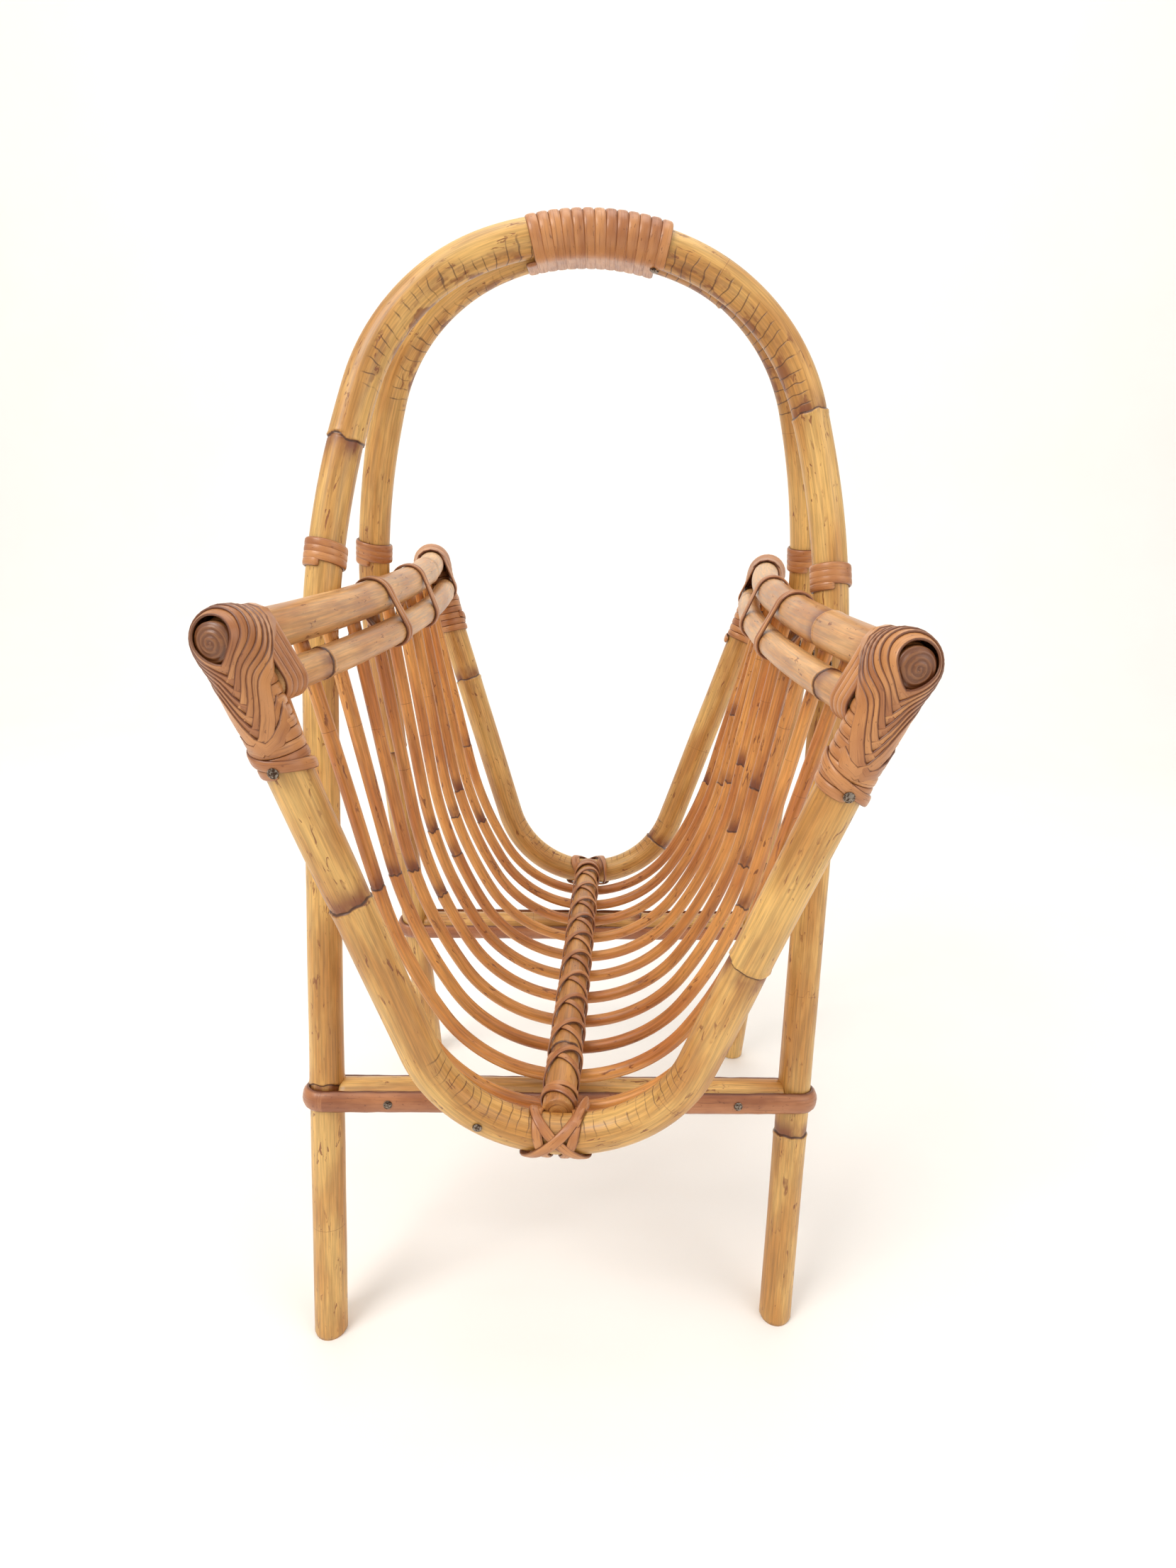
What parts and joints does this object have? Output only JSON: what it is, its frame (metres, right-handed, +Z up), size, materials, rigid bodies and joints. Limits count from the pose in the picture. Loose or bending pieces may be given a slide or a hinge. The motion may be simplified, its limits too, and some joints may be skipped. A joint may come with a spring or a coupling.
{
  "type": "magazine rack",
  "caption": "Rattan magazine rack: two bent arches form the legs and carrying handle, and a U-shaped basket of thin ribs hangs between its side rails.",
  "frame": {"origin": "on the floor, in the middle of the rack between its four feet", "axes": "+X across the rack to the right, +Y from the front hoop to the back hoop along the spine, +Z up"},
  "size_m": [0.3092, 0.4192, 0.6331],
  "materials": {
    "rattan_pole": "satin varnish over peeled rattan",
    "rattan_rail": "satin varnish over peeled rattan",
    "rattan_rib": "satin varnish over thin rattan",
    "cane_wrap": "satin varnish over flat cane",
    "cane_strap": "satin varnish over split cane",
    "nail": "dull dark steel"
  },
  "bodies": {
    "root": {"arch_back": "rattan_pole", "arch_collar_back_left": "cane_wrap", "arch_collar_back_right": "cane_wrap", "arch_collar_front_left": "cane_wrap", "arch_collar_front_right": "cane_wrap", "arch_front": "rattan_pole", "corner_cap_back_left": "cane_wrap", "corner_cap_back_right": "cane_wrap", "corner_cap_front_left": "cane_wrap", "corner_cap_front_right": "cane_wrap", "corner_nails": "nail", "handle_nail": "nail", "handle_wrap": "cane_wrap", "hoop_back": "rattan_pole", "hoop_front": "rattan_pole", "hoop_lashing_back": "cane_wrap", "hoop_lashing_front": "cane_wrap", "hoop_nails": "nail", "lower_rail_left": "rattan_rail", "lower_rail_right": "rattan_rail", "rail_binding_back_left": "cane_wrap", "rail_binding_back_right": "cane_wrap", "rail_binding_front_left": "cane_wrap", "rail_binding_front_right": "cane_wrap", "rib_01": "rattan_rib", "rib_02": "rattan_rib", "rib_03": "rattan_rib", "rib_04": "rattan_rib", "rib_05": "rattan_rib", "rib_06": "rattan_rib", "rib_07": "rattan_rib", "rib_08": "rattan_rib", "rib_09": "rattan_rib", "rib_10": "rattan_rib", "rib_11": "rattan_rib", "rib_nails": "nail", "spine": "rattan_pole", "spine_lacing": "cane_wrap", "strap_back": "cane_strap", "strap_front": "cane_strap", "strap_nails": "nail", "stretcher_back": "rattan_pole", "stretcher_front": "rattan_pole", "upper_rail_left": "rattan_rail", "upper_rail_right": "rattan_rail"}
  },
  "joints": []
}
